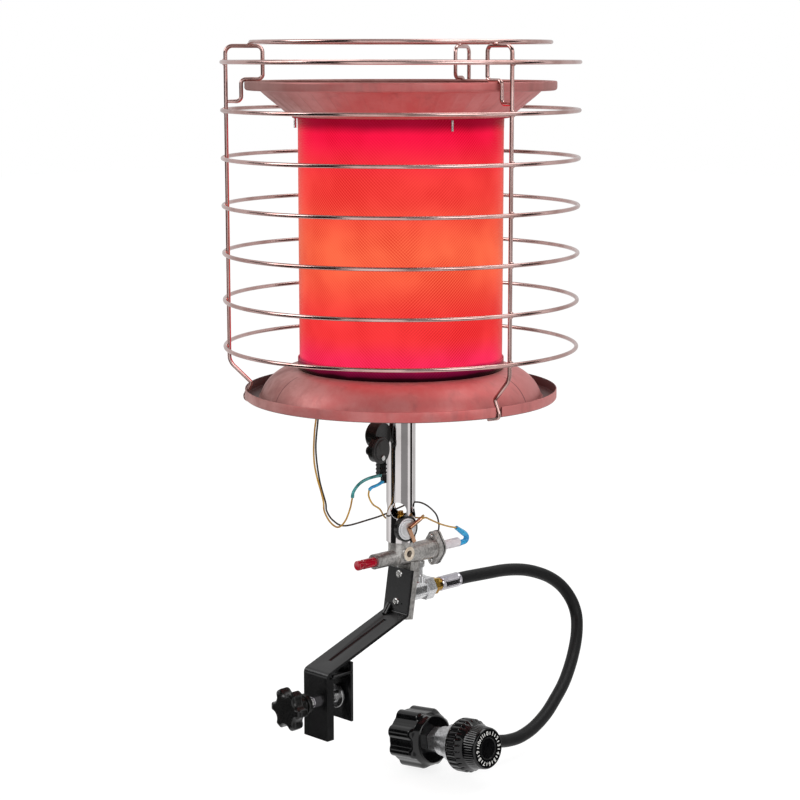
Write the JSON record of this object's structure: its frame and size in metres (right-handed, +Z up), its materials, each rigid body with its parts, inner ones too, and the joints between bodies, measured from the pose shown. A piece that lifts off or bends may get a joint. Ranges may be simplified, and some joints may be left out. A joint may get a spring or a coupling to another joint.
{
  "type": "portable propane heater",
  "caption": "Tank-top propane heater: caged round radiant burner between two reflectors on a tube with a push-button valve, clamp bracket, hose and regulator.",
  "frame": {"origin": "middle of the underside of the hook's roof, where the rim of the tank's collar bears", "axes": "+Z up, along the burner's axis; +Y from the hook along the arm towards the burner; +X to the right seen from the hook, the way the pressure knob faces"},
  "size_m": [0.356, 0.4325, 0.7384],
  "materials": {
    "chrome_wire": "bright chromed steel wire",
    "reflector_steel": "bright pressed steel, rose where it mirrors the burner",
    "glow_mesh": "glowing heat-resisting steel mesh",
    "burner_steel": "heat-darkened steel",
    "tube_chrome": "polished steel tube",
    "zinc_steel": "zinc-plated steel",
    "cast_zinc": "rough die casting",
    "black_paint": "satin black powder coat",
    "black_plastic": "black moulding",
    "gloss_black": "glossy black moulding",
    "grey_plastic": "dark grey moulding",
    "red_plastic": "red push button",
    "white_plastic": "white insulator",
    "blue_sleeve": "blue insulating sleeve",
    "brass": "turned brass",
    "gold_lead": "lacquered lead",
    "black_lead": "black lead",
    "hose_rubber": "matt black gas hose"
  },
  "bodies": {
    "heater": {"guard_top_ring": "chrome_wire", "guard_ring_1": "chrome_wire", "guard_ring_2": "chrome_wire", "guard_ring_3": "chrome_wire", "guard_ring_4": "chrome_wire", "guard_ring_5": "chrome_wire", "guard_ring_6": "chrome_wire", "guard_ring_7": "chrome_wire", "guard_upright_1": "chrome_wire", "guard_upright_2": "chrome_wire", "guard_upright_3": "chrome_wire", "top_reflector": "reflector_steel", "top_studs": "zinc_steel", "burner_cap": "burner_steel", "burner_mesh": "glow_mesh", "inner_screen": "glow_mesh", "gas_baffle": "burner_steel", "burner_floor": "burner_steel", "base_reflector": "reflector_steel", "flame_probe": "zinc_steel", "mixing_tube": "tube_chrome", "flange_screws": "zinc_steel", "gas_jet": "brass", "tip_switch_housing": "black_plastic", "tip_switch_cover": "grey_plastic", "tip_switch_screw": "zinc_steel", "tip_switch_strap": "zinc_steel", "terminal_sleeves": "blue_sleeve", "heat_switch_clip": "black_paint", "heat_switch": "zinc_steel", "heat_switch_terminal": "brass", "probe_lead": "gold_lead", "ground_lead": "black_lead", "link_lead": "gold_lead", "magnet_lead": "gold_lead", "magnet_sleeve": "blue_sleeve", "valve_body": "cast_zinc", "return_spring": "zinc_steel", "magnet_cap": "white_plastic", "valve_screws": "zinc_steel", "inlet_pipe": "zinc_steel", "inlet_elbow": "cast_zinc", "hose_nut": "brass", "hose_ferrules": "zinc_steel", "hose": "hose_rubber", "regulator_body": "cast_zinc", "regulator_nipple": "brass", "bracket": "black_paint", "hook_inner_leg": "black_paint", "bracket_screws": "zinc_steel", "clamp_nut": "zinc_steel"},
    "start_button": {"valve_button": "red_plastic", "valve_stem": "zinc_steel"},
    "clamp_pad": {"clamp_pad": "zinc_steel"},
    "clamp_screw": {"clamp_screw": "zinc_steel", "clamp_knob": "black_plastic"},
    "pressure_knob": {"regulator_knob": "gloss_black"},
    "coupling_nut": {"coupling_nut": "black_plastic"}
  },
  "joints": [
    {"name": "start_button_push", "type": "slide", "parent": "heater", "child": "start_button", "axis": [0, 1, 0], "range_m": [0, 0.006], "stiffness_N_per_m": 600, "springref_m": -0.004, "deforming": ["return_spring"]},
    {"name": "clamp_pad_slide", "type": "slide", "parent": "heater", "child": "clamp_pad", "axis": [0, 1, 0], "range_m": [-0.019, 0.0039]},
    {"name": "clamp_screw_turn", "type": "hinge", "parent": "clamp_pad", "child": "clamp_screw", "pos_m": [0, 0, -0.025], "axis": [0, 1, 0], "range_deg": [-6841, 1405]},
    {"name": "pressure_knob_turn", "type": "hinge", "parent": "heater", "child": "pressure_knob", "pos_m": [0.042, 0.102, -0.0825], "axis": [0.9936, 0, 0.1132], "range_deg": [-300, 0]},
    {"name": "coupling_nut_turn", "type": "hinge", "parent": "heater", "child": "coupling_nut", "pos_m": [0.042, 0.102, -0.0825], "axis": [0.9936, 0, 0.1132], "continuous": true}
  ],
  "couplings": [
    {"joint": "clamp_screw_turn", "follows": "clamp_pad_slide", "rad_per_m": 6283.2}
  ]
}
